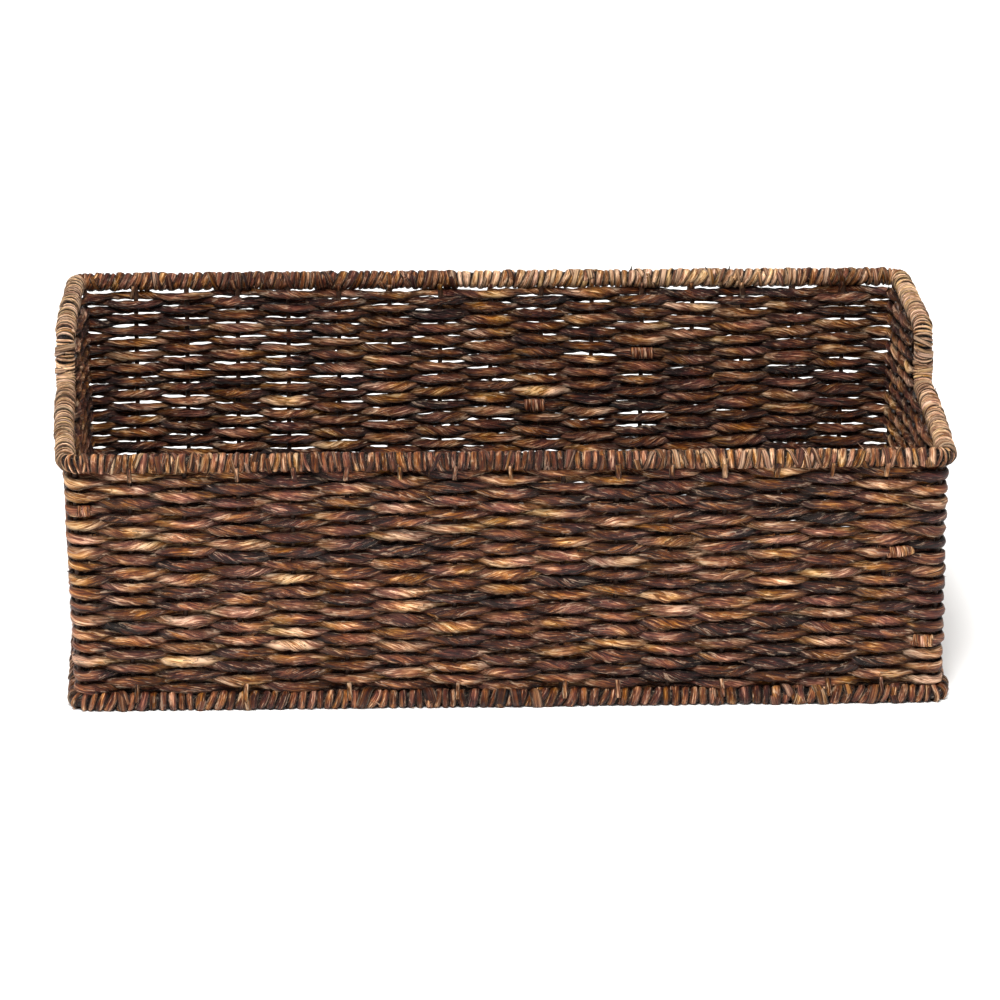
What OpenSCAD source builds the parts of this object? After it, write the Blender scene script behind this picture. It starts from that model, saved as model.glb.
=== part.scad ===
// Open storage basket: strands woven on a welded wire frame, with bound rims.
// The back and the rear part of the sides stand higher than the front.
// +X runs along the basket, -Y is the front, +Z is up.
// The origin is the centre of the footprint, on the surface that the basket stands on.

/* [Basket] */
// Width across the side rims
basket_w = 810; // [500:10:1000]
// Depth across the front and back rims
basket_d = 400; // [300:10:520]
// Height of the front rim
front_h = 245; // [150:5:340]
// Number of weave courses by which the back stands above the front
rise_courses = 4; // [4:1:8]
// Distance from the front of the basket to the step in the side rims
step_from_front = 225; // [120:5:300]

/* [Wire frame] */
// Diameter of the two rim wires
rim_wire_d = 6; // [4:0.5:8]
// Diameter of the upright stakes and the base wires
stake_d = 4.4; // [3:0.2:6]
// Distance between stakes that the even spacing comes close to
stake_gap_goal = 49; // [40:0.5:60]
// Radius of the rim wires' centre lines at the corners
corner_bend_r = 10; // [10:0.5:20]
// Radius of the top rim wire's centre line at the two bends of the step
step_bend_r = 18; // [12:1:20]

/* [Rim binding] */
// Outer diameter of the bound rims
bind_d = 17; // [14:0.5:18]
// Depth of the flat that the lower binding stands on
foot_flat = 0.8; // [0.4:0.2:1.6]

/* [Weave] */
// Thickness of a strand across the wall
strand_t = 4.6; // [3:0.2:7]
// Height of a course of two strands that the even spacing comes close to
course_goal = 13.2; // [10:0.2:20]
// Length of the flat stretch of a strand where it passes a stake
strand_flat = 12; // [6:1:20]

/* [Base] */
// Thickness of the woven base
base_t = 13.4; // [12:0.2:20]
// Height of the base's underside above the surface that the basket stands on
base_clear = 0.9; // [0.4:0.1:1.2]
// Number of lengthwise brace wires under the base
brace_count = 3; // [2:1:5]
// Diameter of the brace wires
brace_d = 3.4; // [2.4:0.2:3.6]

/* [Fits] */
// Gap between a strand or a binding and the pieces next to it
soft_gap = 0.3; // [0.2:0.1:0.6]

/* [Hidden] */
$fn = 48;

wire_colour = "#3a2a20";
binding_colour = "#a07850";
strand_colour = "#7d5236";
dark_strand_colour = "#4a2c22";
base_colour = "#6b4630";

bind_r = bind_d / 2;
wire_r = rim_wire_d / 2;
stake_r = stake_d / 2;

// The stakes are welded to the inner side of the rim wires.
stake_in = bind_r + wire_r + stake_r;
// A corner post touches the inside of the rim wires' corner bends.
post_in = bind_r + corner_bend_r - (corner_bend_r - wire_r - stake_r) / sqrt(2);
stake_x = basket_w / 2 - stake_in;
stake_y = basket_d / 2 - stake_in;
post_x = basket_w / 2 - post_in;
post_y = basket_d / 2 - post_in;

front_gaps = round(2 * post_x / stake_gap_goal);
side_gaps = round(2 * post_y / stake_gap_goal);
front_gap = 2 * post_x / front_gaps;
side_gap = 2 * post_y / side_gaps;

// Distance of a strand's middle from the stakes' plane where it passes a stake
strand_out = stake_r + soft_gap + strand_t / 2;
wall_half = stake_r + soft_gap + strand_t;
wall_x = stake_x + wall_half;
// A corner post stands further in than the stakes, and the strands that pass inside it do too.
post_step = max(0, post_in - stake_in);
wall_in_y = stake_y - wall_half - post_step - soft_gap;

base_rim_z = bind_r - foot_flat;
weave_z = max(base_rim_z + bind_r, base_clear + base_t) + soft_gap;
front_rim_z = front_h - bind_r;
full_zone = front_rim_z - bind_r - soft_gap - weave_z;
full_courses = round(full_zone / course_goal);
course_h = full_zone / full_courses;
strand_h = course_h / 2 - soft_gap;
// The step is placed to a quarter of a millimetre, so that its bends meet the straight runs exactly.
rise = round(4 * rise_courses * course_h) / 4;
back_rim_z = front_rim_z + rise;

// The step stands in the middle of one of the gaps between side stakes.
step_gap = max(1, min(side_gaps - 2, floor((step_from_front - post_in) / side_gap)));
step_y = round(4 * ((step_gap + 0.5) * side_gap - post_y)) / 4;
step_low_y = step_y - step_bend_r;
step_high_y = step_y + step_bend_r;
step_straight = rise - 2 * step_bend_r;

weld_reach = 2;
brace_overhang = 12;

// The base clears the bindings, the stakes and the corner posts.
base_in = max(bind_d, stake_in + stake_r, post_in + stake_r) + soft_gap;

// Height of the top rim wire's centre line above a point of the side walls
function side_rim_z(y) = y < step_y ? front_rim_z : back_rim_z;

// How far back the bound step reaches at a height between the low rim and the high one
function step_back_at(z) =
  let (
    below = front_rim_z + step_bend_r - z,
    above = z - back_rim_z + step_bend_r
  )
  below > 0 ? step_low_y + sqrt(pow(step_bend_r + bind_r, 2) - below * below)
  : above < 0 ? step_y + bind_r
  : step_high_y - sqrt(pow(step_bend_r - bind_r, 2) - above * above);

function front_stake_xs() = [for (i = [1 : front_gaps - 1]) -post_x + i * front_gap];
function side_stake_ys() = [for (i = [1 : side_gaps - 1]) -post_y + i * side_gap];

// ---- Sections of the rims: +x points out of the basket and +y points up ----

module wire_section() circle(r = wire_r);

// The binding goes over the wire and leaves room for the stakes' ends beneath it.
module top_binding_section() {
  difference() {
    circle(r = bind_r);
    circle(r = wire_r + soft_gap);
    translate([-bind_d - wire_r + soft_gap, -bind_d + weld_reach + soft_gap])
      square([bind_d, bind_d]);
  }
}

// The lower binding is open inwards above the wire, and flat beneath.
module base_binding_section() {
  difference() {
    circle(r = bind_r);
    circle(r = wire_r + soft_gap);
    translate([-bind_d - wire_r + soft_gap, -stake_r - soft_gap])
      square([bind_d, bind_d]);
    translate([-bind_r, -base_rim_z - bind_d])
      square([bind_d, bind_d]);
  }
}

// ---- Runs of a rim: each sweeps the section given as its child ----

// Straight run along the back wall
module back_run(length) {
  rotate([90, 0, 90]) linear_extrude(length, center = true) children();
}

// Corner bend from the right wall to the back wall
module corner_bend() {
  rotate_extrude(angle = 90) translate([corner_bend_r, 0]) children();
}

// Straight run along the right wall, from one y to a larger one
module side_run(from_y, to_y, z) {
  translate([basket_w / 2 - bind_r, to_y, z])
    rotate([90, 0, 0])
      linear_extrude(to_y - from_y) children();
}

// The two quarter bends of the step in the right wall's rim and the upright between them
module side_step() {
  rim_x = basket_w / 2 - bind_r;
  translate([rim_x, step_high_y, back_rim_z - step_bend_r])
    rotate([90, 0, -90])
      rotate_extrude(angle = 90)
        translate([step_bend_r, 0]) rotate(-90) children();
  translate([rim_x, step_y, back_rim_z - step_bend_r])
    rotate([180, 0, 0])
      linear_extrude(step_straight) children();
  translate([rim_x, step_low_y, front_rim_z + step_bend_r])
    rotate([90, 0, 90]) rotate([0, 0, 270])
      rotate_extrude(angle = 90)
        translate([step_bend_r, 0]) rotate(90) children();
}

module place_back_right_corner(z) {
  translate([
    basket_w / 2 - bind_r - corner_bend_r,
    basket_d / 2 - bind_r - corner_bend_r,
    z
  ])
    children();
}

// Right-hand part of the top rim, with its corners
module top_side_rim() {
  end_y = basket_d / 2 - bind_r - corner_bend_r;
  side_run(-end_y, step_low_y, front_rim_z) children();
  side_step() children();
  side_run(step_high_y, end_y, back_rim_z) children();
  place_back_right_corner(back_rim_z) corner_bend() children();
  mirror([0, 1, 0]) place_back_right_corner(front_rim_z) corner_bend() children();
}

// Right-hand part of the base rim, with its corners
module base_side_rim() {
  end_y = basket_d / 2 - bind_r - corner_bend_r;
  side_run(-end_y, end_y, base_rim_z) children();
  place_back_right_corner(base_rim_z) corner_bend() children();
  mirror([0, 1, 0]) place_back_right_corner(base_rim_z) corner_bend() children();
}

module long_run(side, z, gap) {
  length = basket_w - 2 * bind_r - 2 * corner_bend_r - 2 * gap;
  mirror([0, side == "front" ? 1 : 0, 0])
    translate([0, basket_d / 2 - bind_r, z])
      back_run(length) children();
}

// ---- Wire frame ----

module top_rim_wire() {
  color(wire_colour) {
    long_run("front", front_rim_z, 0) wire_section();
    long_run("back", back_rim_z, 0) wire_section();
    top_side_rim() wire_section();
    mirror([1, 0, 0]) top_side_rim() wire_section();
  }
}

module base_rim_wire() {
  color(wire_colour) {
    long_run("front", base_rim_z, 0) wire_section();
    long_run("back", base_rim_z, 0) wire_section();
    base_side_rim() wire_section();
    mirror([1, 0, 0]) base_side_rim() wire_section();
  }
}

module stake(x, y, top_z) {
  bottom_z = base_rim_z - weld_reach;
  translate([x, y, bottom_z])
    cylinder(h = top_z + weld_reach - bottom_z, d = stake_d);
}

module corner_posts() {
  color(wire_colour)
    for (x = [-post_x, post_x]) {
      stake(x, -post_y, front_rim_z);
      stake(x, post_y, back_rim_z);
    }
}

module front_stakes() {
  color(wire_colour)
    for (x = front_stake_xs()) stake(x, -stake_y, front_rim_z);
}

module back_stakes() {
  color(wire_colour)
    for (x = front_stake_xs()) stake(x, stake_y, back_rim_z);
}

module side_stakes(x) {
  color(wire_colour)
    for (y = side_stake_ys()) stake(x, y, side_rim_z(y));
}

module left_stakes() side_stakes(-stake_x);

module right_stakes() side_stakes(stake_x);

// ---- Base ----

function cross_wire_xs() = [for (i = [0 : front_gaps - 1]) -post_x + (i + 0.5) * front_gap];
function brace_ys() = [
  for (i = [1 : brace_count]) -stake_y + i * 2 * stake_y / (brace_count + 1)
];

module cross_wires(d) {
  length = basket_d - 2 * bind_r - rim_wire_d;
  for (x = cross_wire_xs())
    translate([x, length / 2, base_rim_z])
      rotate([90, 0, 0])
        cylinder(h = length, d = d);
}

// The braces are welded under the cross wires and end just past the outer ones.
module brace_wires(d, extra) {
  length = 2 * post_x - front_gap + 2 * brace_overhang + 2 * extra;
  for (y = brace_ys())
    translate([-length / 2, y, base_rim_z - (stake_d + brace_d) / 2])
      rotate([0, 90, 0])
        cylinder(h = length, d = d);
}

module base_cross_wires() color(wire_colour) cross_wires(stake_d);

module base_brace_wires() color(wire_colour) brace_wires(brace_d, 0);

// The woven base, with room for the wires that run inside it
module base_weave() {
  color(base_colour)
    difference() {
      translate([-basket_w / 2 + base_in, -basket_d / 2 + base_in, base_clear])
        cube([basket_w - 2 * base_in, basket_d - 2 * base_in, base_t]);
      cross_wires(stake_d + 2 * soft_gap);
      brace_wires(brace_d + 2 * soft_gap, soft_gap);
    }
}

// ---- Bindings ----

module top_binding_front() {
  color(binding_colour) long_run("front", front_rim_z, soft_gap) top_binding_section();
}

module top_binding_back() {
  color(binding_colour) long_run("back", back_rim_z, soft_gap) top_binding_section();
}

module top_binding_right() color(binding_colour) top_side_rim() top_binding_section();

module top_binding_left() mirror([1, 0, 0]) top_binding_right();

module base_binding_front() {
  color(binding_colour) long_run("front", base_rim_z, soft_gap) base_binding_section();
}

module base_binding_back() {
  color(binding_colour) long_run("back", base_rim_z, soft_gap) base_binding_section();
}

module base_binding_right() color(binding_colour) base_side_rim() base_binding_section();

module base_binding_left() mirror([1, 0, 0]) base_binding_right();

// ---- Weave ----

// One strand that passes the stakes at the given places on alternate sides.
// It runs along +x from start to end, and side is 1 or -1 at the first stake.
// Where it passes the first or last stake on the side of end_step, it lies that much further out.
module strand(start, end, stakes, side, end_step) {
  half_t = strand_t / 2;
  last = len(stakes) - 1;
  sides = [for (i = [0 : last]) i % 2 == 0 ? side : -side];
  middles = [
    for (i = [0 : last])
      sides[i] * strand_out + ((i == 0 || i == last) && sides[i] * end_step > 0 ? end_step : 0)
  ];
  edge = [
    [start, middles[0]],
    for (i = [0 : last]) for (s = [-1, 1]) [stakes[i] + s * strand_flat / 2, middles[i]],
    [end, middles[last]]
  ];
  inside = [for (p = edge) if (p[0] >= start && p[0] <= end) p];
  outer = [for (p = inside) [p[0], p[1] + half_t]];
  inner = [for (i = [len(inside) - 1 : -1 : 0]) [inside[i][0], inside[i][1] - half_t]];
  linear_extrude(strand_h) polygon(concat(outer, inner));
}

// The two strands of a course in one wall, one above the other
module strand_pair(start, end, stakes, lower_side, end_step) {
  color(strand_colour)
    strand(start, end, stakes, lower_side, end_step);
  color(dark_strand_colour)
    translate([0, 0, course_h / 2]) strand(start, end, stakes, -lower_side, end_step);
}

// In every course the lower strand passes outside the corner posts.
module long_wall_pair(y, z) {
  outward = y > 0 ? 1 : -1;
  stakes = concat([-post_x], front_stake_xs(), [post_x]);
  translate([0, y, z])
    strand_pair(-wall_x, wall_x, stakes, outward, -outward * post_step);
}

module side_wall_pair(x, start_y, z) {
  stakes = [for (y = side_stake_ys()) if (y > start_y + strand_flat / 2) y];
  passed = len(side_stake_ys()) - len(stakes);
  inward = x > 0 ? 1 : -1;
  translate([x, 0, z])
    rotate([0, 0, 90])
      strand_pair(start_y, wall_in_y, stakes, passed % 2 == 0 ? inward : -inward, 0);
}

// A full course goes round all four walls.
module full_course(number) {
  z = weave_z + (number - 1) * course_h;
  long_wall_pair(-stake_y, z);
  long_wall_pair(stake_y, z);
  side_wall_pair(-stake_x, -wall_in_y, z);
  side_wall_pair(stake_x, -wall_in_y, z);
}

// An upper course goes along the back and forward to the step on both sides.
module upper_course(number) {
  z = weave_z + (full_courses + number - 1) * course_h;
  start_y = step_back_at(z + course_h - soft_gap) + soft_gap;
  long_wall_pair(stake_y, z);
  side_wall_pair(-stake_x, start_y, z);
  side_wall_pair(stake_x, start_y, z);
}

top_rim_wire();
base_rim_wire();
corner_posts();
front_stakes();
back_stakes();
left_stakes();
right_stakes();
base_cross_wires();
base_brace_wires();
base_weave();
top_binding_front();
top_binding_back();
top_binding_left();
top_binding_right();
base_binding_front();
base_binding_back();
base_binding_left();
base_binding_right();
full_course(1);  // weave_course_01
full_course(2);  // weave_course_02
full_course(3);  // weave_course_03
full_course(4);  // weave_course_04
full_course(5);  // weave_course_05
full_course(6);  // weave_course_06
full_course(7);  // weave_course_07
full_course(8);  // weave_course_08
full_course(9);  // weave_course_09
full_course(10);  // weave_course_10
full_course(11);  // weave_course_11
full_course(12);  // weave_course_12
full_course(13);  // weave_course_13
full_course(14);  // weave_course_14
full_course(15);  // weave_course_15
full_course(16);  // weave_course_16
upper_course(1);  // upper_course_01
upper_course(2);  // upper_course_02
upper_course(3);  // upper_course_03
upper_course(4);  // upper_course_04
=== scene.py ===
"""Looks of an open storage basket: abaca strands woven on a wire frame, with bound rims.

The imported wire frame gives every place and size. The strands, the rim bindings, the base mat and
the loose fibres are built round it, in the same frame and in metres.
"""

import sys

import logging
import math
from dataclasses import dataclass
from enum import Enum
from typing import Any, ClassVar, Optional, Sequence, Union

import bmesh
import bpy
import numpy as np
from mathutils import Matrix, Vector


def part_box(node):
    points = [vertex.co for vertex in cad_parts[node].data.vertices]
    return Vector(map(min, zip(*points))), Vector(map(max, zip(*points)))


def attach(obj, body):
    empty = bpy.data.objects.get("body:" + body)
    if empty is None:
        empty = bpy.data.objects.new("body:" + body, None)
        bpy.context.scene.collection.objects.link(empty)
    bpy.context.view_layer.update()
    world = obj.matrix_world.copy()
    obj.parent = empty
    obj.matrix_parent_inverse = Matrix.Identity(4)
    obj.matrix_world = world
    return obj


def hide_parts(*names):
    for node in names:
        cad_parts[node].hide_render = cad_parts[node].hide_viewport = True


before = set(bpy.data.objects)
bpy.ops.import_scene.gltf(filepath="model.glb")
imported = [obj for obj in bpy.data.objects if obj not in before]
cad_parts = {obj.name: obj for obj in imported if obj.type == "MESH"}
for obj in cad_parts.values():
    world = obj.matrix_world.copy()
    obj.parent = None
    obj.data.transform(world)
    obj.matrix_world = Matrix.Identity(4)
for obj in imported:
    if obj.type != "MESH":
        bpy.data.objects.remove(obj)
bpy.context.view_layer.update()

log = logging.getLogger("basket")

MM = 0.001
BODY = "root"
FULL_COURSES = 16
UPPER_COURSES = 4
COURSES_PER_PIECE = 4
# Distance between the samples of a finely sampled line, in mm.
FINE_STEP = 0.5
# Bounds of a random angle, in radians.
ANY_ANGLE = (0, 6.28)


class Wall(Enum):
    """A wall of the basket, by the name that its packed bindings end in."""

    FRONT = "front"
    BACK = "back"
    LEFT = "left"
    RIGHT = "right"


class Lay(Enum):
    """How a strand of a course lies: outside the corner posts and low, or inside them and high."""

    OUTSIDE = 1.0
    INSIDE = -1.0


class Way(Enum):
    """Which way a tie leaves its rim."""

    UP = 1
    DOWN = -1


# ---------------------------------------------------------------- small tools


def linear(hex_colour: str, alpha: float = 1.0) -> tuple[float, float, float, float]:
    """Turns an sRGB hex colour into linear light.

    Args:
        hex_colour: six hex digits after a hash.
        alpha: the fourth value of the result.

    Returns:
        Red, green, blue and alpha.
    """
    parts = [int(hex_colour[i : i + 2], 16) / 255 for i in (1, 3, 5)]
    light = [c / 12.92 if c <= 0.04045 else ((c + 0.055) / 1.055) ** 2.4 for c in parts]
    return light[0], light[1], light[2], alpha


def add_node(
    tree: bpy.types.NodeTree,
    kind: str,
    links: Optional[dict[Union[int, str], Any]] = None,
    **settings: Any,
) -> bpy.types.Node:
    """Adds a shader node with its settings and links.

    Args:
        tree: the material's node tree.
        kind: the node's type name.
        links: what goes into each input, by name or number: an output socket or a plain value.
        **settings: the node's own properties.

    Returns:
        The new node.
    """
    node = tree.nodes.new(kind)
    for name, value in settings.items():
        setattr(node, name, value)
    for socket, source in (links or {}).items():
        if isinstance(source, bpy.types.NodeSocket):
            tree.links.new(source, node.inputs[socket])
        else:
            node.inputs[socket].default_value = source
    return node


def wander(
    rng: np.random.Generator, at: np.ndarray, spacing: float, size: float
) -> np.ndarray:
    """A smooth random curve.

    Args:
        rng: the seeded source of random numbers.
        at: where the curve is wanted, in mm, in rising order.
        spacing: distance between the curve's knots, in mm.
        size: the curve stays between minus size and size.

    Returns:
        The curve's value at each place.
    """
    length = float(at[-1] - at[0])
    count = max(3, int(length / spacing) + 2)
    knots = rng.uniform(-size, size, count + 2)
    place = (at - at[0]) / spacing
    step = np.minimum(place.astype(int), count)
    share = eased(np.clip(place - step, 0, 1))
    return knots[step] * (1 - share) + knots[step + 1] * share


def lumps(rng: np.random.Generator, size: float) -> list[tuple[int, float, float, float]]:
    """The folds and lumps of a twisted strand's section.

    Args:
        rng: the seeded source of random numbers.
        size: the share of the radius that each may add or take away.

    Returns:
        For each, how many times it goes round the section, its size, its start and its turn per mm.
    """
    found = [(count, size * 1.2, rng.uniform(*ANY_ANGLE), 0.0) for count in (2, 3)]
    for count in (1, 1, 2, 2, 3, 4):
        found.append((count, size * 0.8, rng.uniform(*ANY_ANGLE), rng.uniform(-0.55, 0.55)))
    return found


def unit(vectors: np.ndarray) -> np.ndarray:
    """Scales each row to a length of one."""
    return vectors / np.maximum(np.linalg.norm(vectors, axis=1, keepdims=True), 1e-9)


def eased(share: np.ndarray) -> np.ndarray:
    """A smooth rise from 0 to 1 with level ends."""
    return share * share * (3 - 2 * share)


def square_to(vectors: np.ndarray, forward: np.ndarray) -> np.ndarray:
    """Turns each row square to a direction, with a length of one."""
    return unit(vectors - forward * (vectors * forward).sum(1, keepdims=True))


def blurred(values: np.ndarray, reach: float) -> np.ndarray:
    """Smooths the rows of a finely sampled line.

    Args:
        values: rows that are FINE_STEP apart along the line.
        reach: the smoothing's standard deviation, in mm.

    Returns:
        The smoothed rows.
    """
    half = int(3 * reach / FINE_STEP)
    weights = np.exp(-0.5 * (np.arange(-half, half + 1) * FINE_STEP / reach) ** 2)
    weights /= weights.sum()
    padded = np.pad(values, ((half, half), (0, 0)), mode="reflect", reflect_type="odd")
    return np.stack(
        [np.convolve(padded[:, i], weights, mode="valid") for i in range(values.shape[1])], 1
    )


# ---------------------------------------------------------------- sizes


@dataclass(frozen=True)
class BasketPlan:
    """Places and sizes of the wire frame, in mm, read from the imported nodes.

    Places of wires and rims are those of their centre lines. The bends are the centre lines' radii.
    """

    rim_x: float
    rim_y: float
    front_rim_z: float
    back_rim_z: float
    base_rim_z: float
    wire_r: float
    stake_r: float
    stake_x: float
    stake_y: float
    post_x: float
    post_y: float
    first_course_z: float
    course_h: float
    step_y: float
    cross_x: float
    front_gaps: int = 16
    side_gaps: int = 8
    corner_bend: float = 10.0
    step_bend: float = 18.0
    bind_r: float = 8.5

    @staticmethod
    def span(node: str) -> tuple[np.ndarray, np.ndarray]:
        """The lowest and highest corner of a node, in mm."""
        low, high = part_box(node)
        return np.array(low) / MM, np.array(high) / MM

    @classmethod
    def read(cls) -> "BasketPlan":
        """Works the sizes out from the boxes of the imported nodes."""
        top_low, top_high = cls.span("top_rim_wire")
        rim_low, rim_high = cls.span("base_rim_wire")
        right_low, right_high = cls.span("right_stakes")
        back_low, back_high = cls.span("back_stakes")
        post_high = cls.span("corner_posts")[1]
        cross_high = cls.span("base_cross_wires")[1]
        first = cls.span("weave_course_01")[0][2]
        last = cls.span(f"weave_course_{FULL_COURSES:02d}")[0][2]
        wire_r = (rim_high[2] - rim_low[2]) / 2
        stake_r = (right_high[0] - right_low[0]) / 2
        points = np.array([v.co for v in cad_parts["top_rim_wire"].data.vertices]) / MM
        front_z, back_z = top_low[2] + wire_r, top_high[2] - wire_r
        rising = (points[:, 2] > front_z + 2 * wire_r) & (points[:, 2] < back_z - 2 * wire_r)
        step = points[rising][:, 1]
        return cls(
            rim_x=top_high[0] - wire_r,
            rim_y=top_high[1] - wire_r,
            front_rim_z=front_z,
            back_rim_z=back_z,
            base_rim_z=(rim_low[2] + rim_high[2]) / 2,
            wire_r=wire_r,
            stake_r=stake_r,
            stake_x=(right_low[0] + right_high[0]) / 2,
            stake_y=(back_low[1] + back_high[1]) / 2,
            post_x=post_high[0] - stake_r,
            post_y=post_high[1] - stake_r,
            first_course_z=first,
            course_h=(last - first) / (FULL_COURSES - 1),
            step_y=(step.min() + step.max()) / 2,
            cross_x=cross_high[0] - stake_r,
        )

    def front_xs(self) -> list[float]:
        """The x of each stake in the front and back walls."""
        gap = 2 * self.post_x / self.front_gaps
        return [-self.post_x + i * gap for i in range(1, self.front_gaps)]

    def side_ys(self) -> list[float]:
        """The y of each stake in the side walls."""
        gap = 2 * self.post_y / self.side_gaps
        return [-self.post_y + i * gap for i in range(1, self.side_gaps)]


@dataclass(frozen=True)
class HandmadeShape:
    """How the finished basket departs from a true box, in mm.

    The side walls bow outward, the walls taper and lean, and their foot stands a little to the
    right.
    """

    plan: BasketPlan
    left_bow: float = 6.3
    right_bow: float = 3.3
    taper: float = 1.6
    lean: float = 4.0
    base_shift: float = 2.4

    def settle(self, points: np.ndarray) -> np.ndarray:
        """Moves points of a true box to where they are on the handmade basket.

        Args:
            points: rows of x, y and z in mm.

        Returns:
            The moved rows.
        """
        moved = points.copy()
        side = points[:, 0] / self.plan.rim_x
        depth = np.clip(1 - (points[:, 1] / self.plan.rim_y) ** 2, 0, 1)
        height = np.clip(points[:, 2] / self.plan.front_rim_z, 0, 1.05)
        bow = np.where(side > 0, self.right_bow, self.left_bow)
        moved[:, 0] += np.sign(side) * np.abs(side) ** 4 * bow * depth * height
        moved[:, 0] -= side * self.taper * (1 - height)
        moved[:, 0] += self.lean * (0.5 - height) * np.clip(height * 4, 0, 1) * 0.5
        moved[:, 0] += self.base_shift * np.clip(1 - height * 1.4, 0, 1)
        return moved


# ---------------------------------------------------------------- lines and tubes


def rows_at(at: np.ndarray, places: np.ndarray, rows: np.ndarray) -> np.ndarray:
    """Rows of three values in between given rows.

    Args:
        at: where rows are wanted.
        places: where the given rows are, in rising order.
        rows: the given rows of three values.

    Returns:
        The rows at the wanted places.
    """
    return np.stack([np.interp(at, places, rows[:, i]) for i in range(3)], 1)


@dataclass
class Route:
    """A finely sampled line with the outward direction beside it, in mm."""

    points: np.ndarray
    outward: np.ndarray

    def __post_init__(self) -> None:
        """Measures the line."""
        steps = np.linalg.norm(np.diff(self.points, axis=0), axis=1)
        self.along = np.concatenate([[0.0], np.cumsum(steps)])
        self.length = float(self.along[-1])

    @classmethod
    def joined(cls, parts: Sequence[tuple[np.ndarray, np.ndarray]]) -> "Route":
        """Joins runs end to end, and drops the point that two runs share.

        Args:
            parts: points and outward directions of each run.

        Returns:
            The whole route.
        """
        points = np.concatenate([parts[0][0]] + [p[1:] for p, _ in parts[1:]])
        outward = np.concatenate([parts[0][1]] + [o[1:] for _, o in parts[1:]])
        return cls(points, unit(outward))

    def at(self, s: np.ndarray) -> tuple[np.ndarray, np.ndarray]:
        """Points and outward directions at distances along the line."""
        return rows_at(s, self.along, self.points), unit(rows_at(s, self.along, self.outward))

    def around(
        self, s: np.ndarray, angle: np.ndarray
    ) -> tuple[np.ndarray, np.ndarray, np.ndarray]:
        """Directions square to the line.

        Args:
            s: distances along the line.
            angle: how far each direction is turned from outward towards up.

        Returns:
            Points of the line, its forward directions and the turned directions.
        """
        centre, outward = self.at(s)
        forward = unit(self.at(s + 1)[0] - self.at(s - 1)[0])
        up = np.cross(outward, forward)
        radial = outward * np.cos(angle)[:, None] + up * np.sin(angle)[:, None]
        return centre, forward, radial

    def nearest(self, x: float, y: float) -> float:
        """How far along the line the point nearest to a place in plan is."""
        flat = np.hypot(self.points[:, 0] - x, self.points[:, 1] - y)
        return float(self.along[int(flat.argmin())])


def straight(
    start: Sequence[float], end: Sequence[float], outward: Sequence[float]
) -> tuple[np.ndarray, np.ndarray]:
    """A straight run with one outward direction.

    Args:
        start: the run's first point.
        end: its last point.
        outward: the outward direction.

    Returns:
        Points and outward directions.
    """
    start, end = np.array(start, float), np.array(end, float)
    count = max(2, int(np.linalg.norm(end - start) / FINE_STEP) + 1)
    share = np.linspace(0, 1, count)[:, None]
    return start + (end - start) * share, np.tile(np.array(outward, float), (count, 1))


def quarter(
    centre: Sequence[float],
    first: Sequence[float],
    last: Sequence[float],
    outward: Optional[Sequence[float]] = None,
) -> tuple[np.ndarray, np.ndarray]:
    """A quarter bend.

    Args:
        centre: the bend's centre.
        first: from the centre to the bend's start.
        last: from the centre to the bend's end.
        outward: the outward direction, or None where it turns with the bend.

    Returns:
        Points and outward directions.
    """
    centre, first, last = (np.array(v, float) for v in (centre, first, last))
    count = max(6, int(np.linalg.norm(first) * math.pi / 2 / FINE_STEP) + 1)
    angle = np.linspace(0, math.pi / 2, count)[:, None]
    radial = first * np.cos(angle) + last * np.sin(angle)
    directions = radial if outward is None else np.tile(np.array(outward, float), (count, 1))
    return centre + radial, directions


def ring_route(half_x: float, half_y: float, bend: float, z: float) -> Route:
    """A level ring round the basket, from the middle of the left wall by way of the front.

    Args:
        half_x: half its size along x.
        half_y: half its size along y.
        bend: radius of its corners.
        z: its height.

    Returns:
        The ring's route.
    """
    x, y = half_x - bend, half_y - bend
    return Route.joined(
        [
            straight((-half_x, 0, z), (-half_x, -y, z), (-1, 0, 0)),
            quarter((-x, -y, z), (-bend, 0, 0), (0, -bend, 0)),
            straight((-x, -half_y, z), (x, -half_y, z), (0, -1, 0)),
            quarter((x, -y, z), (0, -bend, 0), (bend, 0, 0)),
            straight((half_x, -y, z), (half_x, y, z), (1, 0, 0)),
            quarter((x, y, z), (bend, 0, 0), (0, bend, 0)),
            straight((x, half_y, z), (-x, half_y, z), (0, 1, 0)),
            quarter((-x, y, z), (0, bend, 0), (-bend, 0, 0)),
            straight((-half_x, y, z), (-half_x, 0, z), (-1, 0, 0)),
        ]
    )


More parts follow.
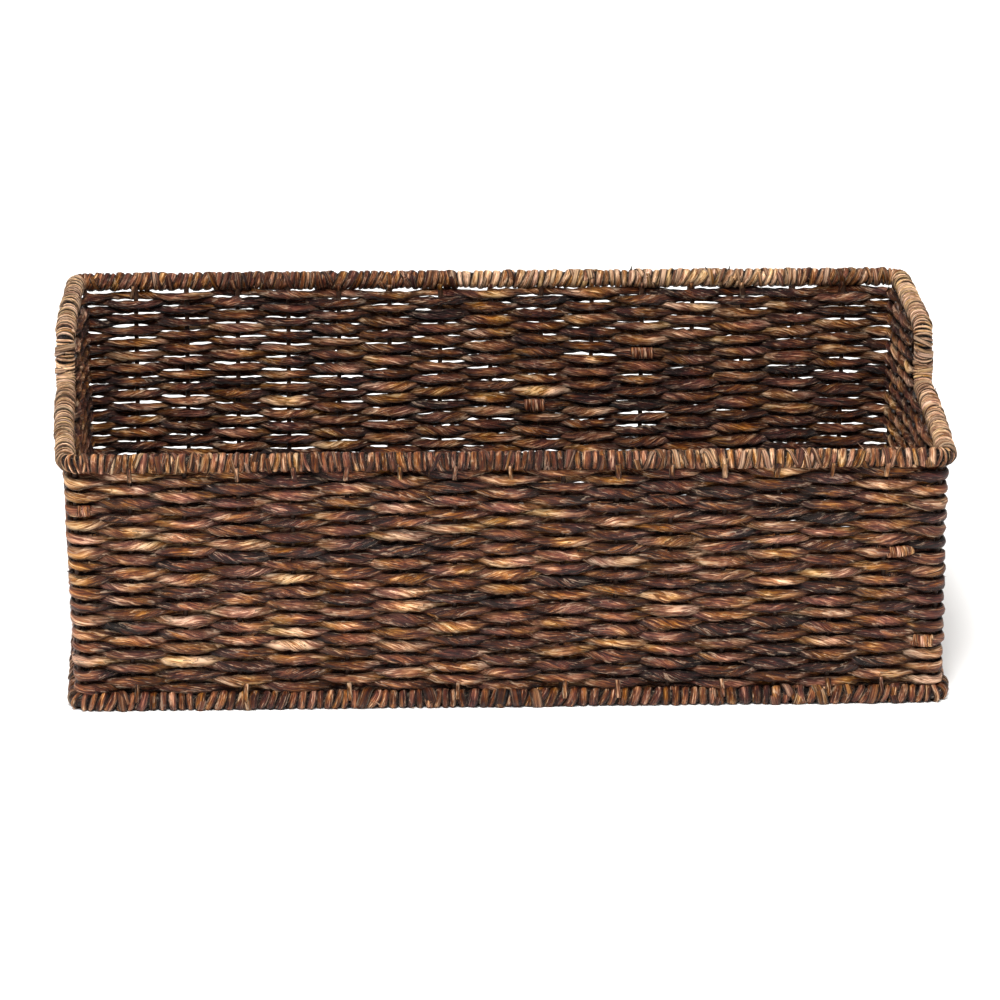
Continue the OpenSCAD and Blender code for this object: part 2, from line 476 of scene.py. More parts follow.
def top_rim_route(plan: BasketPlan) -> Route:
    """The top rim's centre line, with the step in both sides, from just behind the left step."""
    start = 60
    hx, hy, c, b = plan.rim_x, plan.rim_y, plan.corner_bend, plan.step_bend
    x, y, low, high = hx - c, hy - c, plan.front_rim_z, plan.back_rim_z
    near, at, far = plan.step_y - b, plan.step_y, plan.step_y + b
    left, right = (-1, 0, 0), (1, 0, 0)
    return Route.joined(
        [
            straight((-hx, far + start, high), (-hx, far, high), left),
            quarter((-hx, far, high - b), (0, 0, b), (0, -b, 0), left),
            straight((-hx, at, high - b), (-hx, at, low + b), left),
            quarter((-hx, near, low + b), (0, b, 0), (0, 0, -b), left),
            straight((-hx, near, low), (-hx, -y, low), left),
            quarter((-x, -y, low), (-c, 0, 0), (0, -c, 0)),
            straight((-x, -hy, low), (x, -hy, low), (0, -1, 0)),
            quarter((x, -y, low), (0, -c, 0), (c, 0, 0)),
            straight((hx, -y, low), (hx, near, low), right),
            quarter((hx, near, low + b), (0, 0, -b), (0, b, 0), right),
            straight((hx, at, low + b), (hx, at, high - b), right),
            quarter((hx, far, high - b), (0, -b, 0), (0, 0, b), right),
            straight((hx, far, high), (hx, y, high), right),
            quarter((x, y, high), (c, 0, 0), (0, c, 0)),
            straight((x, hy, high), (-x, hy, high), (0, 1, 0)),
            quarter((-x, y, high), (0, c, 0), (-c, 0, 0)),
            straight((-hx, y, high), (-hx, far + start, high), left),
        ]
    )


@dataclass
class Tube:
    """One strand, strip or wire: an oval section swept along a line, in mm.

    The section's first axis points along across, and its second is square to that and to the line.
    Its colour rows hold the shade, the brightness and room for the painted crevice shade, which
    bend() fills in; on wall strands the brightness also holds painted shade, and crevice_across puts
    the painted crevice shade at the ends of the section's first axis instead of its second.
    """

    centre: np.ndarray
    across: np.ndarray
    half_across: np.ndarray
    half_up: np.ndarray
    dye: np.ndarray
    twist: np.ndarray
    along: np.ndarray
    sides: int = 10
    lobes: Sequence[tuple[int, float, float, float]] = ()
    crevice_across: bool = False

    @classmethod
    def plain(
        cls,
        centre: np.ndarray,
        across: np.ndarray,
        half: Sequence[Union[float, np.ndarray]],
        colour: Sequence[float],
        along: np.ndarray,
        **rest: Any,
    ) -> "Tube":
        """A tube of one colour without twist.

        Args:
            centre: points of its line.
            across: the section's first axis, as one row or as a row for each point.
            half: the section's half sizes, each as one value or as a value for each point.
            colour: its shade and brightness.
            along: the distance along the strand at each point, which places the grain.
            **rest: sides, lobes and crevice_across.

        Returns:
            The tube.
        """
        count = len(centre)
        return cls(
            centre=centre,
            across=np.broadcast_to(across, (count, 3)),
            half_across=np.broadcast_to(half[0], count),
            half_up=np.broadcast_to(half[1], count),
            dye=np.tile([*colour, 0.0], (count, 1)),
            twist=np.zeros(count),
            along=along,
            **rest,
        )


class TubeBuilder:
    """Makes pieces out of tubes: straight ones from operators, which are then bent to their lines.

    The crevice values are powers of the painted shade: they say how quickly a section darkens from
    its crown to where it is hidden, and strands get the wider painted shade on their undersides.
    """

    templates: ClassVar[dict[tuple[int, int], bpy.types.Mesh]] = {}
    strip_crevice: ClassVar[float] = 1.6
    strand_top_crevice: ClassVar[float] = 3.5
    strand_underside_crevice: ClassVar[float] = 1.5

    @classmethod
    def straight_tube(cls, rings: int, sides: int) -> bpy.types.Mesh:
        """A closed straight tube along +x, one unit between rings and one unit in radius.

        Args:
            rings: how many rings of vertices.
            sides: how many vertices in a ring.

        Returns:
            A mesh that is kept and used again for tubes of the same make.
        """
        if (rings, sides) not in cls.templates:
            bm = bmesh.new()
            bmesh.ops.create_grid(bm, x_segments=rings - 1, y_segments=sides, size=0.5)
            for vert in bm.verts:
                angle = (vert.co.y + 0.5) * 2 * math.pi
                ring = round((vert.co.x + 0.5) * (rings - 1))
                vert.co = (ring, math.cos(angle), math.sin(angle))
            bmesh.ops.remove_doubles(bm, verts=bm.verts, dist=0.01)
            rims = [e for e in bm.edges if e.is_boundary]
            bmesh.ops.holes_fill(bm, edges=rims, sides=sides)
            bmesh.ops.recalc_face_normals(bm, faces=bm.faces)
            mesh = bpy.data.meshes.new(f"straight_{rings}_{sides}")
            bm.to_mesh(mesh)
            bm.free()
            cls.templates[rings, sides] = mesh
        return cls.templates[rings, sides]

    @classmethod
    def bend(cls, tube: Tube, flat: np.ndarray) -> tuple[np.ndarray, np.ndarray, np.ndarray]:
        """Bends the vertices of a straight tube to the tube's line.

        Args:
            tube: what the tube becomes.
            flat: vertices of the straight tube.

        Returns:
            The vertices, each one's place in the twisted section, and its colour row with the
            painted crevice shade filled in.
        """
        ring = np.rint(flat[:, 0]).astype(int)
        angle = np.arctan2(flat[:, 2], flat[:, 1])
        forward = unit(np.gradient(tube.centre, axis=0))
        across = square_to(tube.across, forward)
        up = np.cross(forward, across)
        turned = angle + tube.twist[ring]
        size = np.ones(len(flat))
        for count, share, phase, wave in tube.lobes:
            size += share * np.cos(count * turned + phase + wave * tube.along[ring])
        cosine, sine = np.cos(angle), np.sin(angle)
        a = tube.half_across[ring] * size * cosine
        b = tube.half_up[ring] * size * sine
        points = tube.centre[ring] + across[ring] * a[:, None] + up[ring] * b[:, None]
        mean = (tube.half_across[ring] + tube.half_up[ring]) / 2
        section = np.stack([mean * np.cos(turned), mean * np.sin(turned), tube.along[ring]], 1)
        dye = tube.dye[ring].copy()
        # Painted shade: darker towards the edges of a strip's turn, or the top and bottom of a
        # strand, and more widely on a strand's underside.
        if tube.crevice_across:
            dye[:, 2] = np.abs(cosine) ** cls.strip_crevice
        else:
            underside = up[ring, 2] * sine < 0
            power = np.where(underside, cls.strand_underside_crevice, cls.strand_top_crevice)
            dye[:, 2] = np.abs(sine) ** power
        return points, section, dye

    @classmethod
    def build(
        cls, name: str, tubes: Sequence[Tube], shape: HandmadeShape, settle: bool = True
    ) -> bpy.types.Object:
        """Makes one piece out of several tubes.

        Args:
            name: the piece's name.
            tubes: the tubes in it.
            shape: the handmade shape that the points settle into.
            settle: False where a piece lies in the base and keeps its true place.

        Returns:
            The new object.
        """
        bm = bmesh.new()
        points, sections, dyes = [], [], []
        for tube in tubes:
            template = cls.straight_tube(len(tube.centre), tube.sides)
            bm.from_mesh(template)
            flat = np.zeros(len(template.vertices) * 3)
            template.vertices.foreach_get("co", flat)
            bent = cls.bend(tube, flat.reshape(-1, 3))
            for kept, new in zip((points, sections, dyes), bent):
                kept.append(new)
        mesh = bpy.data.meshes.new(name)
        bm.to_mesh(mesh)
        bm.free()
        place = np.concatenate(points)
        if settle:
            place = shape.settle(place)
        mesh.vertices.foreach_set("co", (place * MM).astype(np.float32).ravel())
        layers = {"section": np.concatenate(sections) * MM, "dye": np.concatenate(dyes)}
        for key, rows in layers.items():
            layer = mesh.attributes.new(key, "FLOAT_VECTOR", "POINT")
            layer.data.foreach_set("vector", rows.astype(np.float32).ravel())
        mesh.polygons.foreach_set("use_smooth", np.ones(len(mesh.polygons), bool))
        mesh.update()
        piece = bpy.data.objects.new(name, mesh)
        bpy.context.scene.collection.objects.link(piece)
        return piece


# ---------------------------------------------------------------- finishes


def blank_material(name: str) -> bpy.types.Material:
    """A new material with an empty node tree."""
    material = bpy.data.materials.new(name)
    material.use_nodes = True
    material.node_tree.nodes.clear()
    return material


@dataclass(frozen=True)
class PlantFibre:
    """Abaca leaf sheath, split, dyed brown and dried: a dull satin skin with fine fibres along it.

    The leaf's edge shows as a dark line with a small step and a painted highlight on its rim, and
    thin pale glints run along the fibres, partly pale frayed fibres and partly painted highlight.
    Widths, lengths and the wrap's pitch are in mm. A spread is how far the grain of that size moves
    the shade, and a dark share is what a line or fold takes from the brightness, or what the painted
    shade in the crevices takes. Hue and saturation go from their first value by up to their second.
    The reliefs are shares of the depth.
    """

    name: str
    shades: tuple[tuple[float, str], ...]
    fibre_width: float = 1.05
    fibre_length: float = 17.0
    fibre_spread: float = 0.46
    patch_spread: float = 0.40
    thread_spread: float = 0.26
    leaf_edges: int = 2
    wrap_pitch: float = 46.0
    folds_per_edge: float = 3.7
    edge_dark: float = 0.7
    fold_dark: float = 0.5
    crevice_painted_shade: float = 0.78
    hue: tuple[float, float] = (0.486, 0.024)
    saturation: tuple[float, float] = (0.93, 0.25)
    glint: str = "#e6cdb0"
    glint_share: float = 0.55
    bump: float = 1.0
    bump_depth: float = 1.6
    fibre_relief: float = 0.7
    edge_relief: float = 0.7
    thread_relief: float = 0.4
    fold_relief: float = -0.4
    roughness: float = 0.5
    roughness_spread: float = 0.3
    ior: float = 1.47
    specular: float = 0.28

    def material(self) -> bpy.types.Material:
        """Makes the node material, which reads the tubes' own section and dye attributes."""
        material = blank_material(self.name)
        tree = material.node_tree
        section = add_node(tree, "ShaderNodeAttribute", attribute_name="section").outputs["Vector"]
        dye = add_node(tree, "ShaderNodeAttribute", attribute_name="dye").outputs["Vector"]
        tone = add_node(tree, "ShaderNodeSeparateXYZ", {0: dye})

        def maths(operation: str, *values: Any) -> bpy.types.NodeSocket:
            """One arithmetic step."""
            return add_node(
                tree, "ShaderNodeMath", dict(enumerate(values)), operation=operation
            ).outputs[0]

        def between(value: Any, low: float, high: float) -> bpy.types.NodeSocket:
            """0 at low, 1 at high, and a smooth rise from one to the other."""
            return add_node(
                tree, "ShaderNodeMapRange", {0: value, 1: low, 2: high, 3: 0.0, 4: 1.0},
                interpolation_type="SMOOTHSTEP",
            ).outputs[0]

        def grain(width: float, length: float, detail: float) -> bpy.types.NodeSocket:
            """Noise drawn out along the strand, stretched to fill 0 to 1."""
            scaled = add_node(
                tree, "ShaderNodeVectorMath",
                {0: section, 1: (1 / (width * MM), 1 / (width * MM), 1 / (length * MM))},
                operation="MULTIPLY",
            )
            noise = add_node(
                tree, "ShaderNodeTexNoise",
                {"Vector": scaled.outputs[0], "Scale": 1.0, "Detail": detail, "Roughness": 0.6},
            )
            return between(noise.outputs["Fac"], 0.28, 0.72)

        # Fibres, finer threads and wide patches run along the strand.
        fibres = grain(self.fibre_width, self.fibre_length, 3.0)
        threads = grain(self.fibre_width * 0.45, self.fibre_length * 0.5, 2.0)
        patches = grain(self.fibre_width * 4, self.fibre_length * 1.2, 2.0)
        # The rolled leaf's edge winds round the strand and wavers; it draws a dark line.
        parts = add_node(tree, "ShaderNodeSeparateXYZ", {0: section})
        angle = maths("ARCTAN2", parts.outputs[1], parts.outputs[0])
        turn = maths("MULTIPLY", angle, self.leaf_edges / (2 * math.pi))
        spiral = maths("MULTIPLY_ADD", parts.outputs[2], 1 / (self.wrap_pitch * MM), turn)
        leaf = maths("MULTIPLY_ADD", patches, 0.9, maths("MULTIPLY_ADD", fibres, 0.12, spiral))
        overlap = maths("FRACT", leaf)
        line = maths("MULTIPLY", between(overlap, 0.2, 0.0), between(patches, 0.15, 0.6))
        # The dye took unevenly, so each fibre, patch and thread has its own shade.
        spread = tone.outputs[0]
        grains = (fibres, patches, threads)
        spreads = (self.fibre_spread, self.patch_spread, self.thread_spread)
        for source, size in zip(grains, spreads):
            spread = maths("MULTIPLY_ADD", maths("SUBTRACT", source, 0.5), size, spread)
        ramp = add_node(tree, "ShaderNodeValToRGB", {0: spread})
        stops = ramp.color_ramp.elements
        while len(stops) < len(self.shades):
            stops.new(0.5)
        for stop, (place, colour) in zip(stops, self.shades):
            stop.position, stop.color = place, linear(colour)
        # Folds and leaf edges are darker. The brightness varies at random and, on wall strands,
        # holds painted shade where they pass behind a neighbour; painted shade also darkens the
        # crevices between strands and between a strip's turns.
        folds = maths("MULTIPLY", leaf, self.folds_per_edge)
        folds = maths("FRACT", maths("MULTIPLY_ADD", threads, 0.25, folds))
        fold = maths("MULTIPLY", between(folds, 0.22, 0.0), between(patches, 0.55, 0.25))
        shade = maths("MULTIPLY_ADD", line, -self.edge_dark, 1.0)
        shade = maths("MULTIPLY", shade, maths("MULTIPLY_ADD", fold, -self.fold_dark, 1.0))
        shade = maths("MULTIPLY", shade, tone.outputs[1])
        # Painted shade in the crevices, from the colour rows' third value.
        depth = maths("MULTIPLY_ADD", tone.outputs[2], -self.crevice_painted_shade, 1.0)
        shade = maths("MULTIPLY", shade, depth)
        # The hue drifts slowly between red brown and yellow brown.
        slow = grain(self.fibre_width * 30, self.fibre_length * 3, 1.0)
        hued = add_node(
            tree, "ShaderNodeHueSaturation",
            {
                0: maths("MULTIPLY_ADD", slow, self.hue[1], self.hue[0]),
                1: maths("MULTIPLY_ADD", slow, self.saturation[1], self.saturation[0]),
                2: 1.0, 3: 1.0, 4: ramp.outputs[0],
            },
        ).outputs[0]
        body = add_node(
            tree, "ShaderNodeVectorMath", {0: hued, 3: shade}, operation="SCALE"
        ).outputs[0]
        # Thin pale glints, partly pale frayed threads and partly painted highlight, and a painted
        # highlight on the rim of the leaf's edge.
        edge = maths("MULTIPLY", between(overlap, 0.18, 0.26), between(overlap, 0.38, 0.28))
        edge = maths("MULTIPLY", edge, between(patches, 0.35, 0.8))
        frayed_and_highlight = maths("MULTIPLY", between(threads, 0.8, 1.0), between(fibres, 0.4, 0.8))
        frayed_and_highlight = maths("MAXIMUM", frayed_and_highlight, maths("MULTIPLY", edge, 0.6))
        colour = add_node(
            tree, "ShaderNodeMix",
            {0: maths("MULTIPLY", frayed_and_highlight, self.glint_share), 6: body, 7: linear(self.glint)},
            data_type="RGBA",
        ).outputs[2]
        # Relief of the fibres and the leaf's edge, and a duller skin where fibres stand up.
        height = maths("MULTIPLY", overlap, self.edge_relief)
        height = maths("MULTIPLY_ADD", fibres, self.fibre_relief, height)
        height = maths("MULTIPLY_ADD", threads, self.thread_relief, height)
        height = maths("MULTIPLY_ADD", fold, self.fold_relief, height)
        bump = add_node(
            tree, "ShaderNodeBump",
            {"Strength": self.bump, "Distance": self.bump_depth * MM, "Height": height},
        )
        smooth = self.roughness - self.roughness_spread / 2
        rough = maths("MULTIPLY_ADD", fibres, self.roughness_spread, smooth)
        shader = add_node(
            tree, "ShaderNodeBsdfPrincipled",
            {
                "Base Color": colour, "Roughness": rough, "Normal": bump.outputs[0],
                "IOR": self.ior, "Specular IOR Level": self.specular,
            },
        )
        add_node(tree, "ShaderNodeOutputMaterial", {0: shader.outputs[0]})
        return material


@dataclass(frozen=True)
class LacqueredWire:
    """Iron wire under brown lacquer: a thin satin coat that is a little worn and dusty.

    The worn patches are about 4 mm wide, and the bump depth is in mm.
    """

    name: str = "lacquered_iron_wire"
    coat: str = "#2c1a11"
    worn: str = "#4a3323"
    most_worn: float = 0.8
    patches_per_metre: float = 260.0
    bump: float = 0.3
    bump_depth: float = 0.4
    roughness: float = 0.55
    specular: float = 0.2

    def material(self) -> bpy.types.Material:
        """Makes the node material on object coordinates."""
        material = blank_material(self.name)
        tree = material.node_tree
        place = add_node(tree, "ShaderNodeTexCoord").outputs["Object"]
        wear = add_node(
            tree, "ShaderNodeTexNoise",
            {"Vector": place, "Scale": self.patches_per_metre, "Detail": 5.0, "Roughness": 0.6},
        ).outputs["Fac"]
        share = add_node(
            tree, "ShaderNodeMapRange", {0: wear, 1: 0.48, 2: 0.68, 3: 0.0, 4: self.most_worn}
        ).outputs[0]
        colour = add_node(
            tree, "ShaderNodeMix",
            {0: share, 6: linear(self.coat), 7: linear(self.worn)}, data_type="RGBA",
        )
        bump = add_node(
            tree, "ShaderNodeBump",
            {"Strength": self.bump, "Distance": self.bump_depth * MM, "Height": wear},
        )
        shader = add_node(
            tree, "ShaderNodeBsdfPrincipled",
            {
                "Base Color": colour.outputs[2], "Roughness": self.roughness,
                "Normal": bump.outputs[0], "Specular IOR Level": self.specular,
            },
        )
        add_node(tree, "ShaderNodeOutputMaterial", {0: shader.outputs[0]})
        return material


@dataclass(frozen=True)
class StudioPaper:
    """Matt white background paper, which gives the eye a pale floor without gloss."""

    name: str = "studio_paper"
    colour: str = "#f6f5f3"

    def material(self) -> bpy.types.Material:
        """Makes the node material."""
        material = blank_material(self.name)
        tree = material.node_tree
        shader = add_node(
            tree, "ShaderNodeBsdfPrincipled",
            {"Base Color": linear(self.colour), "Roughness": 0.95, "Specular IOR Level": 0.1},
        )
        add_node(tree, "ShaderNodeOutputMaterial", {0: shader.outputs[0]})
        return material


# Dyed abaca from its darkest brown through red brown and tan to the pale leaf that took no dye.
STRAND_SHADES = (
    (0.0, "#140602"),
    (0.16, "#301510"),
    (0.32, "#4a2315"),
    (0.50, "#6c4029"),
    (0.72, "#9a6945"),
    (1.0, "#e8bf98"),
)


# ---------------------------------------------------------------- weave


@dataclass
class WovenWalls:
    """The strands of every course, woven in pairs round the stakes.

    Sizes are in mm: a strand's thickness and height, the distance between its rings, how far its
    two ends overlap, and how far a course lies below its CAD place. The slack shares make strands
    of the back wall thinner, which lets light through it. The waves raise and lower whole courses.
    """

    plan: BasketPlan
    shape: HandmadeShape
    finish: PlantFibre
    thickness: float = 5.8
    height: float = 10.0
    ring_step: float = 3.0
    corner_ring_step: float = 1.2
    overlap: float = 9.0
    settle_down: float = 0.15
    left_slack: float = 0.11
    corner_slack: float = 0.09
    wave_count: int = 7
    wave_height: float = 0.32
    seed: int = 41

    def __post_init__(self) -> None:
        """Finds where the stakes stand along a course."""
        plan = self.plan
        bend = (plan.stake_x - plan.post_x) / (1 - math.sqrt(0.5))
        self.route = ring_route(plan.stake_x, plan.stake_y, bend, 0.0)
        x, y = plan.stake_x, plan.stake_y
        places = [(sx, -y) for sx in plan.front_xs()] + [(sx, y) for sx in plan.front_xs()]
        places += [(-x, sy) for sy in plan.side_ys()] + [(x, sy) for sy in plan.side_ys()]
        places += [(i * plan.post_x, j * plan.post_y) for i in (-1, 1) for j in (-1, 1)]
        found = sorted(self.route.nearest(*p) for p in places)
        if found[0] < 1.0:
            found.append(self.route.length)
        self.stakes = np.array(found)
        corner = self.route.nearest(-plan.post_x, -plan.post_y)
        self.first_corner = int(np.abs(self.stakes - corner).argmin())
        gaps = np.array([0, plan.front_gaps, plan.side_gaps, plan.front_gaps])
        self.corners = self.stakes[self.first_corner + np.cumsum(gaps)]
        self.tubes: list[Tube] = []
        rng = np.random.default_rng(self.seed)
        self.waves = [
            (
                2 * math.pi * int(rng.integers(2, 12)) / self.route.length,
                rng.uniform(*ANY_ANGLE),
                rng.uniform(0.01, 0.05),
            )
            for _ in range(self.wave_count)
        ]

    def course_wave(self, s: np.ndarray, z: float) -> np.ndarray:
        """How far the courses near a height rise and fall along the wall, in mm."""
        total = np.zeros(len(s))
        for along, phase, up in self.waves:
            total += self.wave_height * np.sin(along * s + phase + up * z)
        return total

    def strand(self, z: float, lay: Lay, start: float, end: float, number: int) -> Tube:
        """One strand of a course.

        Args:
            z: height of the middle of the course.
            lay: how the strand lies in the course.
            start: where it starts along the route.
            end: where it ends.
            number: the strand's own number, which seeds it.

        Returns:
            The strand's tube.
        """
        plan, side = self.plan, lay.value
        rng = np.random.default_rng(self.seed * 1000 + number)
        s = np.arange(start, end, FINE_STEP)
        place = np.mod(s, self.route.length)
        base, outward = self.route.at(place)
        turns = np.interp(place, self.stakes, np.arange(len(self.stakes)) - self.first_corner)
        swing = side * np.tanh(1.35 * np.cos(math.pi * turns)) / math.tanh(1.35)
        crossing = 1 - swing**2
        reach = plan.stake_r + self.thickness / 2 - 0.1 + wander(rng, s, 49, 0.5)
        level = z - side * plan.course_h / 4 + self.course_wave(place, z)
        level = level + wander(rng, s, 24, 0.55) + wander(rng, s, 70, 0.5)
        centre = base.copy()
        centre[:, :2] += outward[:, :2] * (swing * reach)[:, None]
        centre[:, 2] = level
        centre = blurred(centre, 2.2)
        swell = 1 + wander(rng, s, 48, 0.17) + wander(rng, s, 15, 0.09)
        half_up = (self.height / 2) * self.fullness(base) * (1 - 0.2 * crossing) * swell
        half_across = (self.thickness / 2) * (1 + 0.08 * crossing) * (0.5 + 0.5 * swell)
        taper = np.clip(np.minimum(s - start, end - s) / self.overlap, 0.18, 1.0)
        pitch = rng.uniform(80, 170) * rng.choice([-1, -1, -1, 1])
        twist = 2 * math.pi * s / pitch + wander(rng, s, 34, 1.3) + rng.uniform(*ANY_ANGLE)
        keep = self.ring_places(place)
        dye = self.dye(rng, s)
        # Painted shade: darker between the stakes, where the two strands of a pair cross and one
        # passes behind the other.
        dye[:, 1] *= 1 - 0.5 * crossing
        return Tube(
            centre=centre[keep],
            across=outward[keep],
            half_across=(half_across * taper)[keep],
            half_up=(half_up * taper)[keep],
            dye=dye[keep],
            twist=twist[keep],
            along=s[keep] + 3000 * number,
            sides=12,
            lobes=lumps(rng, 0.062),
        )

    def ring_places(self, place: np.ndarray) -> np.ndarray:
        """Which samples become rings of the tube; they stand closer at the corners."""
        from_corner = np.min(np.abs(place[:, None] - self.corners[None, :]), axis=1)
        step = np.where(from_corner < 12, self.corner_ring_step, self.ring_step)
        travelled = np.cumsum(FINE_STEP / step)
        keep = np.searchsorted(travelled, np.arange(0, travelled[-1], 1.0))
        return np.unique(np.append(keep, len(place) - 1))

    def fullness(self, base: np.ndarray) -> np.ndarray:
        """The share of a strand's usual height at each place of its route."""
        left = np.clip((90 - base[:, 0]) / 300, 0, 1)
        near_corner = np.clip((np.abs(base[:, 0]) - 330) / 40, 0, 1)
        slack = self.left_slack * left + self.corner_slack * near_corner * (1 - left) - 0.005
        return 1.0 - np.where(base[:, 1] > self.plan.stake_y - 8, slack, 0.0)

    @staticmethod
    def dye(rng: np.random.Generator, s: np.ndarray) -> np.ndarray:
        """Shade and brightness along a strand, with room for the painted crevice shade."""
        tone = 0.48 + rng.uniform(-0.1, 0.1)
        tone = tone + wander(rng, s, 120, 0.22) + wander(rng, s, 38, 0.22)
        bright = 1.28 + wander(rng, s, 60, 0.3) + wander(rng, s, 20, 0.25)
        return np.stack([tone, bright, np.zeros(len(s))], 1)

    def build(self) -> list[bpy.types.Object]:
        """Builds and dresses the full courses, four to a piece, and the upper courses."""
        material, pieces = self.finish.material(), []
        ends = [(-self.overlap, self.route.length + self.overlap)] * COURSES_PER_PIECE
        for first in range(0, FULL_COURSES, COURSES_PER_PIECE):
            last = first + COURSES_PER_PIECE
            nodes = [f"weave_course_{course + 1:02d}" for course in range(first, last)]
            name = f"strands_{first + 1:02d}_{last:02d}"
            pieces.append(self.dress(self.group(name, first, ends), material, nodes))
        nodes = [f"upper_course_{course + 1:02d}" for course in range(UPPER_COURSES)]
        ends = []
        for node in nodes:
            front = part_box(node)[0][1] / MM - 5
            start = self.route.nearest(self.plan.stake_x, front)
            ends.append((start, self.route.length - front))
        piece = self.group("strands_upper", FULL_COURSES, ends)
        pieces.append(self.dress(piece, material, nodes))
        return pieces

    def group(
        self, name: str, first: int, ends: Sequence[tuple[float, float]]
    ) -> bpy.types.Object:
        """Makes one piece out of neighbouring courses.

        Args:
            name: the piece's name.
            first: the number of its lowest course, from 0.
            ends: where the strands of each course start and end.

        Returns:
            The piece.
        """
        tubes = []
        for course, (start, end) in enumerate(ends, first):
            z = self.plan.first_course_z + (course + 0.5) * self.plan.course_h - self.settle_down
            for lay in Lay:
                number = len(self.tubes) + len(tubes) + 1
                tubes.append(self.strand(z, lay, start, end, number))
        self.tubes += tubes
        return TubeBuilder.build(name, tubes, self.shape)

    @staticmethod
    def dress(
        piece: bpy.types.Object, material: bpy.types.Material, names: Sequence[str]
    ) -> bpy.types.Object:
        """Gives a piece its material and its body, and hides the nodes that it stands for."""
        piece.data.materials.append(material)
        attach(piece, BODY)
        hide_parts(*names)
        return piece


# ---------------------------------------------------------------- rim bindings


@dataclass
class RimBinding:
    """A strip wound round a rim, turn beside turn, over a padded core whose dark colour is partly
    its own and partly painted shade for the gaps between the turns.

    Sizes are in mm. The spacing is the narrowest and the widest turn, the bend width is the widest
    turn in a bend, the crown is the strip's half thickness, and the slant is how far a turn leans.
    The cover is a turn's half width as a share of its spacing.
    """

    plan: BasketPlan
    shape: HandmadeShape
    finish: PlantFibre
    core_finish: PlantFibre
    name: str
    nodes: tuple[str, ...]
    spacing: tuple[float, float] = (3.2, 10.8)
    crown: float = 1.45
    cover: float = 0.48
    slant: float = 1.5
    bend_width: float = 3.2
    radius: float = 7.4
    per_turn: int = 14
    roll: float = 0.16
    floor_z: Optional[float] = None
    crossings: int = 300
    seed: int = 7
    shade: float = 0.46

    def tone(self, point: np.ndarray) -> float:
        """The strip's usual shade at a place on the rim."""
        return self.shade

    def turn_widths(self, rng: np.random.Generator, route: Route) -> np.ndarray:
        """The width of each turn; together they go exactly round the route."""
        bends = self.bend_places(route)
        widths, place = [], 0.0
        usual = sum(self.spacing) / 2.4
        while place < route.length - 6:
            width = float(rng.triangular(self.spacing[0], usual, self.spacing[1]))
            if np.min(np.abs(bends - place)) < 6:
                width = min(width, self.bend_width)
            widths.append(width)
            place += width
        return np.array(widths) * route.length / sum(widths)

    def winding(self, route: Route) -> Tube:
        """The wound strip as one long tube."""
        rng = np.random.default_rng(self.seed)
        widths = self.turn_widths(rng, route)
        count = len(widths)
        edges = np.concatenate([[0.0], np.cumsum(widths)])
        middle = np.clip((edges[:-1] + edges[1:]) / 2, 0, route.length)
        turn = np.arange(0, count - 1, 1 / self.per_turn)
        whole = turn.astype(int)
        share = turn - whole
        # A turn lies nearly square to the rim, and the strip moves on along the hidden inner side.
        ease = eased(np.clip((share - 0.28) / 0.44, 0, 1)) * 0.55 + share * 0.45

        def mixed(values: np.ndarray, by: np.ndarray) -> np.ndarray:
            """Goes from each turn's value to the next turn's."""
            return values[whole] * (1 - by) + values[whole + 1] * by

        lean = rng.normal(0, self.slant * 0.7, count)
        lean = lean + wander(rng, edges[:-1], 45, self.slant * 1.4)
        angle = 2 * math.pi * share
        s = mixed(middle, ease) + mixed(lean, share) * np.sin(angle)
        centre, forward, radial = route.around(s, angle)
        out = self.radius + mixed(rng.uniform(-0.8, 0.6, count), share)
        out = out + wander(rng, np.arange(len(s), dtype=float), 9, 0.25)
        points = centre + radial * out[:, None]
        half = mixed(widths, ease) * self.cover
        base_tone = np.array([self.tone(p) for p in centre[:: self.per_turn]])
        tones = np.clip(np.repeat(base_tone, self.per_turn)[: len(s)], 0, 1)
        own = rng.normal(0, 0.05, count) + wander(rng, edges[:-1], 30, 0.09)
        glow = rng.uniform(1.1, 1.8, count)
        steps = np.linalg.norm(np.diff(points, axis=0), axis=1)
        # Each turn's brightness differs at random; bend() adds painted shade towards the strip's
        # edges, between the turns.
        return Tube(
            centre=points,
            across=forward * math.cos(self.roll) + radial * math.sin(self.roll),
            half_across=half,
            half_up=self.crown * (0.8 + 0.06 * half),
            dye=np.stack([tones + own[whole], glow[whole], np.zeros(len(s))], 1),
            twist=np.zeros(len(s)),
            along=np.concatenate([[0], np.cumsum(steps)]),
            sides=8,
            crevice_across=True,
        )

    def crossing_strips(self, route: Route) -> list[Tube]:
        """Ends of strip that cross the turns at a slant and tuck in between them."""
        rng = np.random.default_rng(self.seed + 1)
        found = []
        share = np.linspace(0, 1, 13)
        raised = np.sin(math.pi * share) ** 0.4
        out = self.radius + self.crown * (-0.1 + 1.1 * raised)
        for number in range(self.crossings):
            advance = rng.choice([-1, 1]) * rng.uniform(4, 12)
            s = rng.uniform(14, route.length - 14) + advance * share
            s = np.clip(s, 1, route.length - 1)
            angle = rng.uniform(*ANY_ANGLE) + 2 * math.pi * share * rng.uniform(0.4, 0.75)
            centre, _, radial = route.around(s, angle)
            points = centre + radial * out[:, None]
            along = unit(np.gradient(points, axis=0))
            tone = float(np.clip(self.tone(centre[0]) + rng.normal(0, 0.08), 0, 1))
            half = self.crown * rng.uniform(1.2, 2.3), self.crown * 0.6
            found.append(
                Tube.plain(
                    points, np.cross(along, radial), half, (tone, rng.uniform(0.8, 1.3)),
                    s + 900 * number, sides=6, crevice_across=True,
                )
            )
        return found

